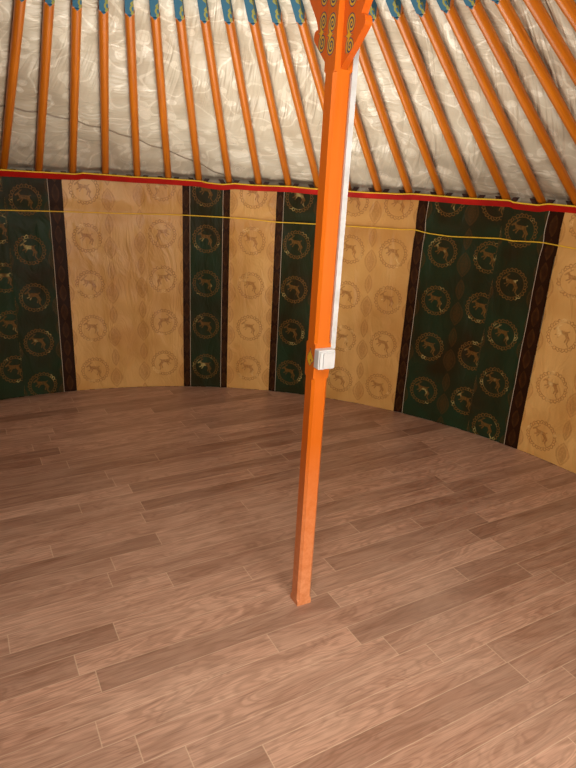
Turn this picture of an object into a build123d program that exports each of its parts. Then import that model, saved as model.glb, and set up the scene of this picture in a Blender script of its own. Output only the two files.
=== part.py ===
from build123d import *
from math import cos, radians, sin, sqrt, tan
import os

# A five-wall felt yurt, in millimetres. The origin is on the ground at the centre,
# +Z is up, the door faces -Y and the place of honour is at the back, +Y.
# Azimuths run clockwise from +Y when seen from above, so +X is at 90 degrees.

# Floor
deck_thickness = 42
sheet_thickness = 3
floor_top = deck_thickness + sheet_thickness

# Frame: wall line, roof poles and crown. Heights in this block start at the floor.
wall_radius = 2660
wall_height = 1525
pole_count = 81
pole_diameter = 45
roof_pitch = 30.4
fit_gap = 0.3

# Painted square tips of the roof poles
tip_start_radius = 1440
tip_width = 38
tip_end_width = 30
tenon_width = 24
tenon_length = 30

# Crown
rim_outer_radius = 665
rim_inner_radius = 575
rim_height = 110
spoke_count = 8
spoke_width = 40
spoke_depth = 50
hub_outer_radius = 215
hub_inner_radius = 165
hub_height = 60
crown_rise = 190

# Lattice walls
lattice_sections = 5
bar_width = 28
bar_thickness = 12
lattice_rise = 300
lattice_foot = 4
head_drop = 80
section_gap = 4

# Covers of the wall and the roof
felt_wall_thickness = 30
canvas_thickness = 3
roof_felt_thickness = 25
liner_thickness = 1.5
felt_strip_gap = 2
felts = 4
strips_per_felt = 4
roof_strips_per_felt = 3
cover_opening_radius = 700
eave_overhang = 34
skirt_length = 290
canvas_hem_height = 40

# Cloths inside
cloth_thickness = 4
border_degrees = 1.25
band_height = 62
band_thickness = 3
piping_height = 9
inner_cord_diameter = 5
inner_cord_height = 1285

# Posts and what is fixed to them
post_radius = 617
post_width = 60
post_chamfer = 9
block_bottom = 950
block_top = 1060
wing_foot = 1885
wing_thickness = 22
wing_reach = 290
switch_width = 62
switch_height = 66
switch_base_depth = 28
switch_cover_depth = 6
switch_rocker_depth = 6
switch_rocker_width = 42
switch_rocker_height = 52
switch_rocker_offset = 4
switch_step = 3
switch_corner = 4
switch_centre = 1020
trunking_width = 18
trunking_depth = 14

# Door
poles_over_door = 4
jamb_width = 75
frame_depth = 110
lintel_height = 105
threshold_height = 90
leaf_thickness = 42
leaf_clear = 3
panel_recess = 10
handle_diameter = 14
hinge_length = 110
hinge_radius = 7
hinge_plate = 40

# Ropes outside
rope_diameter = 14
rope_heights = (330, 760, 1120)
roof_rope_count = 8


# Heights and radii that follow from the sizes above
pitch_sine = sin(radians(roof_pitch))
pitch_cosine = cos(radians(roof_pitch))
pitch_slope = tan(radians(roof_pitch))
pole_step = 360 / pole_count
wall_top = floor_top + wall_height
lattice_inner = wall_radius + 8
lattice_depth = 2 * bar_thickness + fit_gap
lattice_outer = (lattice_inner + lattice_depth) / cos(radians(pole_step / 2))
felt_inner = lattice_outer + fit_gap
felt_outer = felt_inner + felt_wall_thickness
canvas_inner = felt_outer + fit_gap
canvas_outer = canvas_inner + canvas_thickness
cloth_outer = lattice_inner - fit_gap
cloth_inner = cloth_outer - cloth_thickness
band_outer = cloth_inner - fit_gap
band_inner = band_outer - band_thickness
eave_radius = canvas_outer + eave_overhang
door_half = poles_over_door * pole_step / 2


def pole_axis_height(radius):
    """Height above the ground of a roof pole's middle line at that radius."""
    return wall_top + (wall_radius - radius) * pitch_slope


def cone_height(radius, offset):
    """Height of the cone that lies that far above the poles' middle lines."""
    return pole_axis_height(radius) + offset / pitch_cosine


def spoke_plane(azimuth):
    """Upright plane through the centre: its X is the radius and its Y is the height."""
    angle = radians(azimuth)
    return Plane(origin=(0, 0, 0), x_dir=(sin(angle), cos(angle), 0), z_dir=(cos(angle), -sin(angle), 0))


def facing_door(x, y, z):
    """Upright plane that faces the door: its X is +X and its Y is the height."""
    return Plane(origin=(x, y, z), x_dir=(1, 0, 0), z_dir=(0, -1, 0))


def ring_point(radius, azimuth):
    """Point in plan at that radius and azimuth."""
    return (radius * sin(radians(azimuth)), radius * cos(radians(azimuth)))


def turned(azimuths):
    """Turns about the centre that carry a piece made at azimuth 0 to each azimuth."""
    return Locations(*[Location((0, 0, 0), (0, 0, -azimuth)) for azimuth in azimuths])


def ring_arc(inner, outer, bottom, top, start, end):
    """An upright ring segment between two azimuths."""
    with BuildPart() as segment:
        with BuildSketch(spoke_plane(end)):
            with Locations(((inner + outer) / 2, (bottom + top) / 2)):
                Rectangle(outer - inner, top - bottom)
        revolve(axis=Axis.Z, revolution_arc=end - start)
    return segment.part


def cone_arc(profile, start, end):
    """A ring segment with the given outline of (radius, height) points."""
    with BuildPart() as segment:
        with BuildSketch(spoke_plane(end)):
            with BuildLine():
                Polyline(*profile, close=True)
            make_face()
        revolve(axis=Axis.Z, revolution_arc=end - start)
    return segment.part


def save(builder, name):
    """Labels the finished piece and writes it to its own file."""
    builder.part.label = name
    export_step(builder.part, f"parts/{name}.step")


os.makedirs("parts", exist_ok=True)

# Roof pole: round from the wall to the painted tip, then square and tapered to a tenon
foot_radius = lattice_inner + bar_thickness
round_length = (foot_radius - tip_start_radius) / pitch_cosine
tip_length = (tip_start_radius - rim_outer_radius) / pitch_cosine
pole_plane = Plane(
    origin=(0, foot_radius, pole_axis_height(foot_radius)),
    x_dir=(1, 0, 0),
    z_dir=(0, -pitch_cosine, pitch_sine),
)
with BuildPart() as pole:
    with BuildSketch(pole_plane):
        Circle(pole_diameter / 2)
    extrude(amount=round_length)
    with BuildSketch(pole_plane.offset(round_length)):
        Rectangle(tip_width, tip_width)
    with BuildSketch(pole_plane.offset(round_length + tip_length - tenon_length / 2)):
        Rectangle(tip_end_width, tip_end_width)
    loft()
    with BuildSketch(pole_plane.offset(round_length + tip_length - tenon_length / 2)):
        Rectangle(tenon_width, tenon_width)
    extrude(amount=tenon_length)

pole_azimuths = [number * pole_step for number in range(pole_count)]
for group in range(lattice_sections):
    first = group * pole_count // lattice_sections
    last = (group + 1) * pole_count // lattice_sections
    with BuildPart() as roof_poles:
        with turned(pole_azimuths[first:last]):
            add(pole.part)
    save(roof_poles, f"roof_poles_{group + 1}")

# What each pole leaves free in the wall head, the lintel and the rim
with BuildPart() as pole_room:
    with BuildSketch(pole_plane.offset(-pole_diameter)):
        Circle(pole_diameter / 2 + fit_gap)
    extrude(amount=round_length)
with BuildPart() as tenon_room:
    with BuildSketch(pole_plane.offset(round_length + tip_length - tenon_length)):
        Rectangle(tenon_width + 2 * fit_gap, tenon_width + 2 * fit_gap)
    extrude(amount=1.5 * tenon_length + fit_gap)

# Lattice wall: two layers of flat bars that cross under every pole, bent round the
# ring in flats one pole wide, and five sections laced end to end
unit_half = lattice_outer * tan(radians(pole_step / 2))
bar_slope = lattice_rise / (2 * unit_half)
bar_half_height = bar_width / 2 * sqrt(1 + bar_slope**2)
head_cross = wall_top - head_drop
head_top = cone_height(lattice_outer, pole_diameter / 2) - 2
bar_units = int(head_cross / lattice_rise) + 2
wedge_reach = lattice_outer + 50


def wedge(start, end):
    """An upright wedge from the centre out between two azimuths."""
    far = ring_point(wedge_reach / cos(radians((end - start) / 2)), (start + end) / 2)
    with BuildPart() as sector:
        with BuildSketch(Plane.XY):
            with BuildLine():
                Polyline((0, 0), ring_point(wedge_reach, start), far, ring_point(wedge_reach, end), close=True)
            make_face()
        extrude(amount=wall_top + lattice_rise)
    return sector.part


def bar_flat(offset, lean, unit):
    """The length of a bar that lies on the flat that many poles down from its head."""
    cross = head_cross - unit * lattice_rise
    with BuildPart() as flat:
        with BuildSketch(facing_door(0, offset, 0)):
            with BuildLine():
                Polyline(
                    (-lean * unit_half, cross - lattice_rise / 2 - bar_half_height),
                    (lean * unit_half, cross + lattice_rise / 2 - bar_half_height),
                    (lean * unit_half, cross + lattice_rise / 2 + bar_half_height),
                    (-lean * unit_half, cross - lattice_rise / 2 + bar_half_height),
                    close=True,
                )
            make_face()
            with Locations((0, (head_top + lattice_foot) / 2)):
                Rectangle(2 * unit_half, head_top - lattice_foot, mode=Mode.INTERSECT)
        extrude(amount=-bar_thickness)
        add(wedge(-pole_step / 2, pole_step / 2), mode=Mode.INTERSECT)
    return flat.part


bars = {}
for lean, offset in ((1, lattice_inner), (-1, lattice_inner + bar_thickness + fit_gap)):
    with BuildPart() as bar:
        for unit in range(bar_units):
            with turned([-lean * unit * pole_step]):
                add(bar_flat(offset, lean, unit))
    bars[lean] = bar.part

half_count = pole_count // 2
wall_numbers = [n for n in range(-half_count, half_count + 1) if abs(n) * pole_step < 180 - door_half]
for section in range(lattice_sections):
    first = wall_numbers[section * len(wall_numbers) // lattice_sections]
    last = wall_numbers[(section + 1) * len(wall_numbers) // lattice_sections - 1]
    end_gap = section_gap / 2 / (lattice_outer * radians(1))
    with BuildPart() as lattice_wall:
        with turned([n * pole_step for n in range(first, last + bar_units)]):
            add(bars[1])
        with turned([n * pole_step for n in range(first - bar_units + 1, last + 1)]):
            add(bars[-1])
        middle = (first + last) / 2 * pole_step
        reach = (last - first + 1) / 2 * pole_step - end_gap
        add(wedge(middle - reach, middle + reach), mode=Mode.INTERSECT)
    save(lattice_wall, f"lattice_wall_{section + 1}")

# Posts under the crown, with stopped chamfers and a square block at the switch
crown_axis = pole_axis_height(rim_outer_radius)
rim_bottom = crown_axis - rim_height / 2
rim_top = crown_axis + rim_height / 2
chamfer_reach = (post_width - post_chamfer) / sqrt(2)


def stopped_chamfer(bottom, top):
    """The waste of a chamfer with sloped ends along all four edges between two heights."""
    with BuildPart() as waste:
        for corner in (45, 135, 225, 315):
            with BuildSketch(spoke_plane(corner)):
                with BuildLine():
                    Polyline(
                        (chamfer_reach, bottom + post_chamfer),
                        (chamfer_reach, top - post_chamfer),
                        (chamfer_reach + post_chamfer, top),
                        (chamfer_reach + post_chamfer, bottom),
                        close=True,
                    )
                make_face()
            extrude(amount=post_chamfer * 2, both=True)
    return waste.part


with BuildPart() as post:
    with BuildSketch(Plane.XY.offset(floor_top)):
        Rectangle(post_width, post_width)
    extrude(amount=rim_bottom - floor_top)
    add(stopped_chamfer(floor_top + 2 * post_chamfer, floor_top + block_bottom), mode=Mode.SUBTRACT)
    add(stopped_chamfer(floor_top + block_top, floor_top + wing_foot), mode=Mode.SUBTRACT)

# Carved wings that widen the post's head along the rim
wing_top = rim_bottom - fit_gap
wing_start = post_width / 2
wing_foot_height = floor_top + wing_foot
with BuildPart() as wings:
    with BuildSketch(Plane.YZ):
        with BuildLine():
            lobe = Spline(
                (wing_start, wing_foot_height),
                (wing_start + 60, wing_foot_height + 50),
                (wing_start + 108, wing_foot_height + 92),
            )
            notch = ThreePointArc(
                lobe @ 1,
                (wing_start + 110, wing_foot_height + 112),
                (wing_start + 88, wing_foot_height + 120),
            )
            swell = Spline(
                notch @ 1,
                (wing_start + 108, wing_foot_height + 155),
                (wing_start + 150, wing_foot_height + 205),
                (wing_start + 165, wing_foot_height + 300),
            )
            step = ThreePointArc(
                swell @ 1,
                (wing_start + 162, wing_foot_height + 330),
                (wing_start + 140, wing_foot_height + 345),
            )
            crest = Spline(
                step @ 1,
                (wing_start + 170, wing_foot_height + 420),
                (wing_start + 232, wing_foot_height + 520),
                (wing_start + wing_reach, wing_top - 60),
            )
            Polyline(crest @ 1, (wing_start + wing_reach, wing_top), (wing_start, wing_top), lobe @ 0)
        make_face()
    extrude(amount=wing_thickness / 2, both=True)
    mirror(about=Plane.XZ)

for side, name in ((1, "east"), (-1, "west")):
    with BuildPart() as placed_post:
        with Locations((side * post_radius, 0, 0)):
            add(post.part)
    save(placed_post, f"post_{name}")
    with BuildPart() as placed_wings:
        with Locations((side * post_radius, 0, 0)):
            add(wings.part)
    save(placed_wings, f"post_wings_{name}")

# Surface-mounted switch and its cable trunking on the east post
switch_face = -post_width / 2 - fit_gap
switch_height_up = floor_top + switch_centre
switch_layers = (
    (switch_width, switch_height, switch_base_depth, 0),
    (switch_width - 2 * switch_step, switch_height - 2 * switch_step, switch_cover_depth, 0),
    (switch_rocker_width, switch_rocker_height, switch_rocker_depth, switch_rocker_offset),
)
with BuildPart() as light_switch:
    layer_face = switch_face
    for width, height, depth, sideways in switch_layers:
        with BuildSketch(facing_door(post_radius + sideways, layer_face, switch_height_up)):
            RectangleRounded(width, height, switch_corner)
        extrude(amount=depth)
        layer_face -= depth
save(light_switch, "light_switch")

trunking_bottom = switch_height_up + switch_height / 2 - 2 * switch_step
trunking_x = post_radius + post_width / 2 + fit_gap + trunking_width / 2
with BuildPart() as cable_trunking:
    with BuildSketch(Plane.XY.offset(trunking_bottom)):
        with Locations((trunking_x, (trunking_depth - post_width) / 2)):
            Rectangle(trunking_width, trunking_depth)
    extrude(amount=rim_bottom - fit_gap - trunking_bottom)
save(cable_trunking, "cable_trunking")

# Crown: a heavy rim with a socket for every pole tenon
with BuildPart() as crown_rim:
    with BuildSketch(Plane.XY.offset(rim_bottom)):
        Circle(rim_outer_radius)
        Circle(rim_inner_radius, mode=Mode.SUBTRACT)
    extrude(amount=rim_height)
    with turned(pole_azimuths):
        add(tenon_room.part, mode=Mode.SUBTRACT)
save(crown_rim, "crown_rim")

# Arched spokes that carry the hub ring
hub_bottom = rim_top + crown_rise - hub_height
spoke_seat = (rim_inner_radius + rim_outer_radius) / 2
spoke_middle = (spoke_seat + hub_inner_radius) / 2
spoke_inset = 5
spoke_end = hub_inner_radius + spoke_inset
with BuildPart() as crown_spokes:
    with BuildSketch(Plane.XY.offset(hub_bottom)):
        Circle(hub_outer_radius)
        Circle(hub_inner_radius, mode=Mode.SUBTRACT)
    extrude(amount=hub_height)
    for number in range(spoke_count):
        with BuildSketch(spoke_plane(number * 360 / spoke_count + 360 / spoke_count / 2)):
            with BuildLine():
                under = ThreePointArc(
                    (spoke_seat - spoke_depth / 2, rim_top),
                    (spoke_middle, rim_top + crown_rise / 2),
                    (spoke_end, hub_bottom + spoke_inset),
                )
                over = ThreePointArc(
                    (spoke_end, hub_bottom + hub_height - spoke_inset),
                    (spoke_middle + spoke_depth * 0.4, rim_top + crown_rise / 2 + spoke_depth),
                    (spoke_seat + spoke_depth / 2, rim_top),
                )
                Line(under @ 1, over @ 0)
                Line(over @ 1, under @ 0)
            make_face()
        extrude(amount=spoke_width / 2, both=True)
save(crown_spokes, "crown_spokes")

# Floor: a round timber deck with a printed sheet on it, cut back at the door frame
frame_front = canvas_outer
frame_back = frame_front - frame_depth
door_width = 2 * frame_back * sin(radians(door_half))
deck_radius = cloth_inner - 2
floor_layers = (("floor_deck", 0, deck_thickness), ("floor_sheet", deck_thickness, sheet_thickness))
for name, bottom, thickness in floor_layers:
    with BuildPart() as floor_piece:
        with BuildSketch(Plane.XY.offset(bottom)):
            Circle(deck_radius)
            with Locations((0, -frame_back - frame_depth / 2 + fit_gap)):
                Rectangle(door_width + 2 * fit_gap, frame_depth, mode=Mode.SUBTRACT)
        extrude(amount=thickness)
    save(floor_piece, name)

# Door frame: jambs, threshold and a notched lintel that carries the poles over the door
frame_top = cone_height(sqrt(frame_front**2 + door_width**2 / 4), pole_diameter / 2) - 1
opening_width = door_width - 2 * jamb_width
opening_bottom = threshold_height
opening_top = frame_top - lintel_height
opening_height = opening_top - opening_bottom
with BuildPart() as door_frame:
    with BuildSketch(facing_door(0, -frame_front, 0)):
        with Locations((0, frame_top / 2)):
            Rectangle(door_width, frame_top)
        with Locations((0, opening_bottom + opening_height / 2)):
            Rectangle(opening_width, opening_height, mode=Mode.SUBTRACT)
    extrude(amount=-frame_depth)
    with turned(pole_azimuths):
        add(pole_room.part, mode=Mode.SUBTRACT)
save(door_frame, "door_frame")

# Door leaf: framed panels with recessed fields on both faces
leaf_width = opening_width - 2 * leaf_clear
leaf_height = opening_height - 2 * leaf_clear
leaf_middle = opening_bottom + opening_height / 2
leaf_front = frame_front - 30
stile_width = 95
with BuildPart() as door_leaf:
    with BuildSketch(facing_door(0, -leaf_front, leaf_middle)):
        Rectangle(leaf_width, leaf_height)
    extrude(amount=-leaf_thickness)
    field_width = leaf_width - 2 * stile_width
    field_height = (leaf_height - 3 * stile_width) / 2
    for face, inward in ((leaf_front, -1), (leaf_front - leaf_thickness, 1)):
        with BuildSketch(facing_door(0, -face, leaf_middle)):
            with GridLocations(0, field_height + stile_width, 1, 2):
                Rectangle(field_width, field_height)
        extrude(amount=inward * panel_recess, mode=Mode.SUBTRACT)
save(door_leaf, "door_leaf")

# Butt hinges in the gap between the leaf and the west jamb, knuckles outside
hinge_edge = -opening_width / 2 + fit_gap
hinge_leaf = leaf_clear - 2 * fit_gap
hinge_rise = leaf_height * 0.36
with BuildPart() as door_hinges:
    for height in (leaf_middle - hinge_rise, leaf_middle + hinge_rise):
        with BuildSketch(Plane.XY.offset(height - hinge_length / 2)):
            with Locations((hinge_edge + hinge_radius, -leaf_front - fit_gap - hinge_radius)):
                Circle(hinge_radius)
            with Locations((hinge_edge + hinge_leaf / 2, -leaf_front - hinge_radius + hinge_plate / 2)):
                Rectangle(hinge_leaf, hinge_plate)
        extrude(amount=hinge_length)
save(door_hinges, "door_hinges")

# Bow handle on the outer face of the leaf
handle_x = leaf_width / 2 - stile_width / 2
handle_reach = 45
handle_span = 120
handle_foot = -leaf_front - fit_gap
with BuildPart() as door_handle:
    with BuildLine() as handle_path:
        FilletPolyline(
            (handle_x, handle_foot, leaf_middle - handle_span / 2),
            (handle_x, handle_foot - handle_reach, leaf_middle - handle_span / 2),
            (handle_x, handle_foot - handle_reach, leaf_middle + handle_span / 2),
            (handle_x, handle_foot, leaf_middle + handle_span / 2),
            radius=20,
        )
    with BuildSketch(Plane(origin=handle_path.line @ 0, z_dir=handle_path.line % 0)):
        Circle(handle_diameter / 2)
    sweep()
save(door_handle, "door_handle")

# Felt round the wall: four felts, each sewn from strips
felt_top = cone_height(felt_outer, pole_diameter / 2)
felt_arc = (360 - 2 * door_half) / felts
strip_arc = felt_arc / strips_per_felt
strip_gap_degrees = felt_strip_gap / (felt_inner * radians(1))
for felt in range(felts):
    with BuildPart() as wall_felt:
        for strip in range(strips_per_felt):
            start = -180 + door_half + felt * felt_arc + strip * strip_arc
            open_edge = start + strip_gap_degrees
            add(ring_arc(felt_inner, felt_outer, 0, felt_top - fit_gap, open_edge, start + strip_arc))
    save(wall_felt, f"wall_felt_{felt + 1}")

# Felt on the roof, over the poles and the liner
liner_low = pole_diameter / 2 + fit_gap
felt_low = liner_low + liner_thickness + fit_gap
felt_high = felt_low + roof_felt_thickness
roof_edge = canvas_outer + 8
roof_felt_profile = [
    (cover_opening_radius, cone_height(cover_opening_radius, felt_low)),
    (roof_edge, cone_height(roof_edge, felt_low)),
    (roof_edge, cone_height(roof_edge, felt_high)),
    (cover_opening_radius, cone_height(cover_opening_radius, felt_high)),
]
roof_strip_arc = 360 / felts / roof_strips_per_felt
roof_gap_degrees = felt_strip_gap / (cover_opening_radius * radians(1))
for felt in range(felts):
    with BuildPart() as roof_felt:
        for strip in range(roof_strips_per_felt):
            start = (felt * roof_strips_per_felt + strip) * roof_strip_arc
            add(cone_arc(roof_felt_profile, start + roof_gap_degrees, start + roof_strip_arc))
    save(roof_felt, f"roof_felt_{felt + 1}")

# Satin liner between the poles and the roof felt
liner_edge = felt_outer
with BuildPart() as roof_liner:
    with BuildSketch(Plane.XZ):
        with BuildLine():
            Polyline(
                (cover_opening_radius, cone_height(cover_opening_radius, liner_low)),
                (liner_edge, cone_height(liner_edge, liner_low)),
                (liner_edge, cone_height(liner_edge, liner_low + liner_thickness)),
                (cover_opening_radius, cone_height(cover_opening_radius, liner_low + liner_thickness)),
                close=True,
            )
        make_face()
    revolve(axis=Axis.Z)
save(roof_liner, "roof_liner")

# Canvas round the wall and over the roof, with a skirt at the eave
canvas_top = felt_top - 30
with BuildPart() as wall_canvas:
    canvas_edge = 180 - door_half
    add(ring_arc(canvas_inner, canvas_outer, canvas_hem_height, canvas_top, -canvas_edge, canvas_edge))
save(wall_canvas, "wall_canvas")

canvas_low = felt_high + fit_gap
canvas_high = canvas_low + canvas_thickness
skirt_bottom = cone_height(eave_radius, canvas_low) - skirt_length
with BuildPart() as roof_canvas:
    with BuildSketch(Plane.XZ):
        with BuildLine():
            Polyline(
                (cover_opening_radius, cone_height(cover_opening_radius, canvas_low)),
                (eave_radius, cone_height(eave_radius, canvas_low)),
                (eave_radius, skirt_bottom),
                (eave_radius + canvas_thickness, skirt_bottom),
                (eave_radius + canvas_thickness, cone_height(eave_radius + canvas_thickness, canvas_high)),
                (cover_opening_radius, cone_height(cover_opening_radius, canvas_high)),
                close=True,
            )
        make_face()
    revolve(axis=Axis.Z)
    with BuildSketch(Plane.XY):
        with Locations((0, -eave_radius)):
            Rectangle(door_width + 30, 120)
    extrude(amount=frame_top + 4, mode=Mode.SUBTRACT)
save(roof_canvas, "roof_canvas")

# Crown cover: a felt folded back over the rear half of the crown
cover_thickness = 12
cover_skirt_radius = 960
cover_low = canvas_high + fit_gap
cover_crown_radius = 385
cover_middle_radius = 30
cover_lip_radius = rim_outer_radius + 10
cover_lip_height = cone_height(cover_lip_radius, cover_low) + rim_height * 0.55
cover_crown_height = hub_bottom + hub_height + 5
cover_hem_height = cone_height(cover_skirt_radius, cover_low)
cover_outline = (
    (cover_skirt_radius, cover_hem_height),
    (cover_lip_radius, cover_lip_height),
    (cover_crown_radius, cover_crown_height),
    (cover_middle_radius, cover_crown_height),
    (cover_middle_radius, cover_crown_height + cover_thickness),
    (cover_crown_radius, cover_crown_height + cover_thickness),
    (cover_lip_radius + cover_thickness / 2, cover_lip_height + cover_thickness),
    (cover_skirt_radius, cover_hem_height + cover_thickness),
)
with BuildPart() as crown_cover:
    with BuildSketch(spoke_plane(90)):
        with BuildLine():
            Polyline(*cover_outline, close=True)
        make_face()
    revolve(axis=Axis.Z, revolution_arc=180)
save(crown_cover, "crown_cover")

# Cloths on the inside of the lattice. Each set repeats round the ring: a wide green
# panel, gold, a narrow green, gold, a middling green and gold again.
set_start = -16.6
set_arc = 71.4
green_spans = ((0.0, 19.8), (37.2, 43.4), (50.4, 59.2))
cloth_bottom = floor_top - 15
cloth_top = floor_top + wall_height - 40
inner_door_half = door_half + 0.6
seam_gap = 0.02


def cloth_spans():
    """Azimuth spans of the green, gold and border cloths, clipped at the door."""
    spans = {"green": [], "gold": [], "border": []}
    low, high = -180 + inner_door_half, 180 - inner_door_half
    for repeat in range(-3, 4):
        start = set_start + repeat * set_arc
        for index, (left, right) in enumerate(green_spans):
            after = green_spans[index + 1][0] if index + 1 < len(green_spans) else set_arc
            spans["border"].append((start + left, start + left + border_degrees))
            spans["green"].append((start + left + border_degrees, start + right - border_degrees))
            spans["border"].append((start + right - border_degrees, start + right))
            spans["gold"].append((start + right, start + after))
    clipped = {}
    for kind, values in spans.items():
        pairs = [(max(a, low), min(b, high)) for a, b in values]
        clipped[kind] = [(a, b) for a, b in pairs if b - a > 0.3]
    return clipped


def cloth_panel(start, end):
    """One hanging cloth between two azimuths, a hair narrower so that neighbours stay apart."""
    return ring_arc(cloth_inner, cloth_outer, cloth_bottom, cloth_top, start + seam_gap, end - seam_gap)


spans = cloth_spans()
for kind in ("green", "gold"):
    for side, name in ((1, "east"), (-1, "west")):
        with BuildPart() as cloths:
            for start, end in spans[kind]:
                if side * (start + end) / 2 >= 0:
                    add(cloth_panel(start, end))
        save(cloths, f"{kind}_cloths_{name}")
with BuildPart() as border_strips:
    for start, end in spans["border"]:
        add(cloth_panel(start, end))
save(border_strips, "border_strips")

# Red band with yellow piping over the top edge of the cloths, and the yellow cord below
band_top = cone_height(band_inner - 1, -pole_diameter / 2) - 1
band_edge = 180 - inner_door_half
piping_inner = band_inner - 1
piping_bottom = band_top - piping_height
with BuildPart() as wall_band:
    add(ring_arc(band_inner, band_outer, band_top - band_height, piping_bottom, -band_edge, band_edge))
save(wall_band, "wall_band")
with BuildPart() as band_piping:
    add(ring_arc(piping_inner, band_outer, piping_bottom, band_top, -band_edge, band_edge))
save(band_piping, "band_piping")

cord_radius = cloth_inner - fit_gap - inner_cord_diameter / 2
with BuildPart() as inner_cord:
    with BuildSketch(spoke_plane(band_edge)):
        with Locations((cord_radius, floor_top + inner_cord_height)):
            Circle(inner_cord_diameter / 2)
    revolve(axis=Axis.Z, revolution_arc=2 * band_edge)
save(inner_cord, "inner_cord")

# Ropes: three round the wall from jamb to jamb
rope_ring_radius = canvas_outer + fit_gap + rope_diameter / 2
with BuildPart() as wall_ropes:
    for height in rope_heights:
        with BuildSketch(spoke_plane(180 - door_half)):
            with Locations((rope_ring_radius, height)):
                Circle(rope_diameter / 2)
        revolve(axis=Axis.Z, revolution_arc=360 - 2 * door_half)
save(wall_ropes, "wall_ropes")

# Ropes from the crown cover over the roof and the skirt, tied to the top wall rope
rope_clear = 0.7
rope_offset = canvas_high + rope_clear + rope_diameter / 2
rope_top_radius = cover_skirt_radius + 25
rope_turn_radius = eave_radius + canvas_thickness + rope_diameter / 2 + rope_clear
rope_tie_radius = rope_ring_radius + rope_diameter + fit_gap
with BuildPart() as roof_ropes:
    for number in range(roof_rope_count):
        azimuth = (number + 0.5) * 360 / roof_rope_count
        place = spoke_plane(azimuth)
        route = (
            (rope_top_radius, cone_height(rope_top_radius, rope_offset)),
            (rope_turn_radius, cone_height(rope_turn_radius, rope_offset)),
            (rope_turn_radius, skirt_bottom - rope_diameter),
            (rope_tie_radius, rope_heights[-1] + 2 * rope_diameter),
            (rope_tie_radius, rope_heights[-1] - 3 * rope_diameter),
        )
        with BuildLine() as rope_path:
            FilletPolyline(
                *[place.from_local_coords((radius, height, 0)) for radius, height in route],
                radius=rope_diameter * 0.75,
            )
        with BuildSketch(Plane(origin=rope_path.line @ 0, z_dir=rope_path.line % 0)):
            Circle(rope_diameter / 2)
        sweep()
save(roof_ropes, "roof_ropes")
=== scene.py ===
from math import ceil, cos, exp, pi, radians, sin, tan

import bpy
from mathutils import Matrix, Vector, noise


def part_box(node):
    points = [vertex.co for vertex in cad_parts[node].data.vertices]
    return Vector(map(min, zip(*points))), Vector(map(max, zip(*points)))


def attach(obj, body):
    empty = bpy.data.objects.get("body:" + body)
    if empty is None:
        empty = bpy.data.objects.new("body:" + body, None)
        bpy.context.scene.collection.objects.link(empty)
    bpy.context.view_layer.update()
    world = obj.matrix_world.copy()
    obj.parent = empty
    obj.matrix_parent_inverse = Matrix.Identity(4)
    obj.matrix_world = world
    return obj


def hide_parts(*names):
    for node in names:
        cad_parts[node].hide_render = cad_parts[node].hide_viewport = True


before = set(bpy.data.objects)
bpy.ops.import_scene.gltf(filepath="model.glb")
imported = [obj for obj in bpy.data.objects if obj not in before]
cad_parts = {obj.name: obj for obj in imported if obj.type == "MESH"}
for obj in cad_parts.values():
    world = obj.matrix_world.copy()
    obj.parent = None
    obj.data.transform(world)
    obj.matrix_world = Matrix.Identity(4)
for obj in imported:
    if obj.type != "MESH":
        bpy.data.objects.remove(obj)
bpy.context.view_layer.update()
bpy.ops.object.select_all(action="DESELECT")


# Floor
# A round deck of planed boards on the ground, with one sheet of printed vinyl laid
# over it. The print is of narrow planks that run from side to side of the room.
plank_width = 0.0985
plank_length = 0.92
plank_turn = radians(2.4)
plank_shift = 0.034
board_stagger = 7.3


def paint(red, green, blue):
    """A colour given as it looks on a screen, from 0 to 255, as a shader wants it."""
    return tuple(((part / 255 + 0.055) / 1.055) ** 2.4 for part in (red, green, blue)) + (1,)


def new_finish(name, roughness, **settings):
    """A new material: the material itself, its node tree and its shader."""
    finish = bpy.data.materials.new(name)
    finish.use_nodes = True
    shader = finish.node_tree.nodes["Principled BSDF"]
    shader.inputs["Roughness"].default_value = roughness
    for socket, value in settings.items():
        shader.inputs[socket.replace("_", " ")].default_value = value
    return finish, finish.node_tree, shader


def add_node(tree, kind, *values, **settings):
    """A node with its settings, and its inputs in order, each a number, a socket or None."""
    made = tree.nodes.new("ShaderNode" + kind)
    for name, value in settings.items():
        setattr(made, name, value)
    for socket, value in zip([s for s in made.inputs if s.enabled], values):
        if isinstance(value, bpy.types.NodeSocket):
            tree.links.new(value, socket)
        elif value is not None:
            socket.default_value = value
    return next(s for s in made.outputs if s.enabled)


def math(tree, operation, *values):
    """One step of arithmetic on sockets and numbers."""
    return add_node(tree, "Math", *values, operation=operation)


def times(tree, first, second):
    """The product of two values."""
    return math(tree, "MULTIPLY", first, second)


def plus(tree, first, second):
    """The sum of two values."""
    return math(tree, "ADD", first, second)


def minus(tree, first, second):
    """One value less another."""
    return math(tree, "SUBTRACT", first, second)


def gap(tree, first, second):
    """How far apart two values are, never below 0."""
    return math(tree, "ABSOLUTE", minus(tree, first, second))


def length(tree, first, second):
    """How long a line is from its two parts at right angles."""
    return math(tree, "SQRT", plus(tree, times(tree, first, first), times(tree, second, second)))


def stretch(tree, value, low, high, to_low=0.0, to_high=1.0):
    """A value read between two limits, as 0 to 1 or between two others."""
    return add_node(tree, "MapRange", value, low, high, to_low, to_high)


def blend(tree, amount, first, second):
    """Two colours mixed by an amount."""
    return add_node(tree, "Mix", amount, first, second, data_type="RGBA")


def scatter(tree, place, scale, detail=2.0, rough=0.55, bend=0.0):
    """Soft noise at a place, from 0 to 1, about so many lumps to the metre."""
    return add_node(tree, "TexNoise", place, scale, detail, rough, 2.0, bend, noise_dimensions="3D")


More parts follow.
